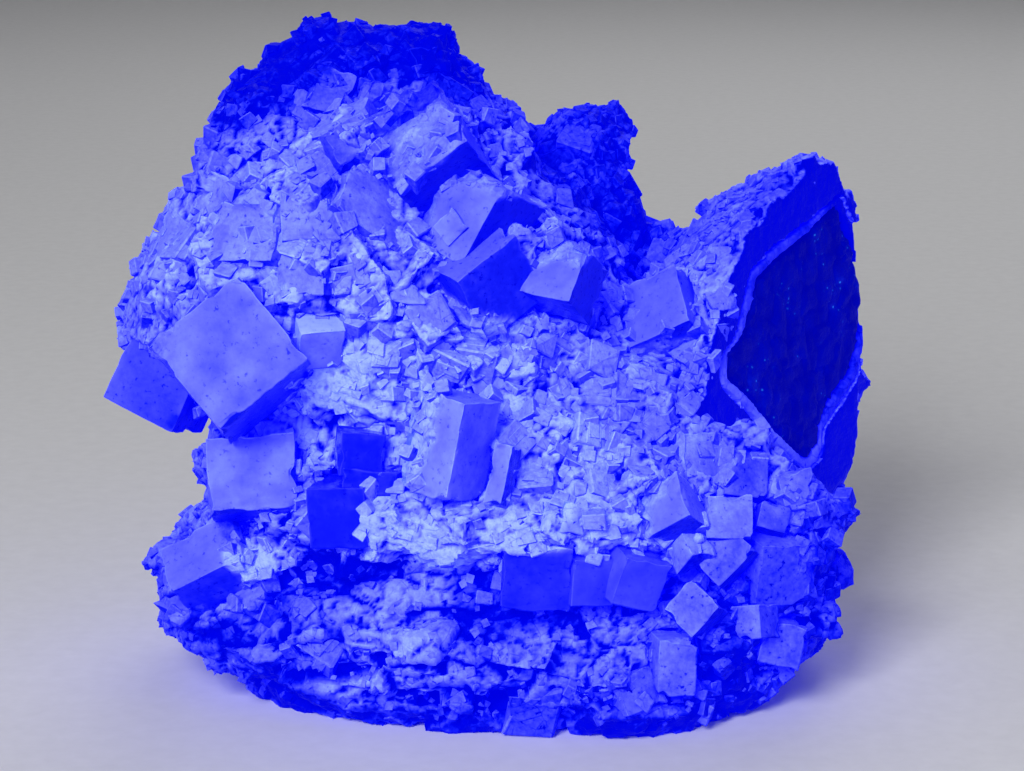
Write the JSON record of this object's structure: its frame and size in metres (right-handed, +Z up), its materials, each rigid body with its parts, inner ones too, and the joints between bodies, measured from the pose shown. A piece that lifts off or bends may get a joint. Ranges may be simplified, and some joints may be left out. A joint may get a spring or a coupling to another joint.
{
  "type": "fluorite specimen",
  "caption": "Free-standing mineral specimen: a crust of grown-together cubic fluorite crystals on host rock, glowing blue as under long-wave ultraviolet light.",
  "frame": {"origin": "on the floor under the middle of the specimen's bounding box", "axes": "+Z up from the flat base, +X to the right seen from the front along the long side, front faces -Y"},
  "size_m": [0.124, 0.0794, 0.1072],
  "materials": {
    "crystal": "smooth crystal faces, lavender blue, slightly translucent",
    "pale_crystal": "dusted crystal faces, pale blue",
    "glassy_crystal": "clear glassy crystal, deep blue",
    "crust": "rough druse of small cubes, dusted, blue",
    "vein": "banded, satin, mid blue",
    "rock": "dark matt broken rock with small bright specks"
  },
  "bodies": {
    "root": {"crystal_great_left": "crystal", "crystal_far_left": "crystal", "crystal_low_left": "crystal", "crystal_left_shelf": "crystal", "crystal_step_pair": "pale_crystal", "crystal_centre": "crystal", "crystal_splinter": "pale_crystal", "crystal_pocket_group": "glassy_crystal", "crystal_right_middle": "pale_crystal", "crystal_top": "crystal", "crystal_upper_group": "crystal", "crystal_saddle": "crystal", "crystal_ledge_row": "glassy_crystal", "crystal_right_cluster": "crystal", "crystal_front_diamond": "crystal", "crystal_low_right": "crystal", "crystal_front_low": "pale_crystal", "crystal_back_low": "crystal", "crystal_left_side": "crystal", "crystal_crust": "crust", "vein_band": "vein", "host_rock": "rock"}
  },
  "joints": []
}
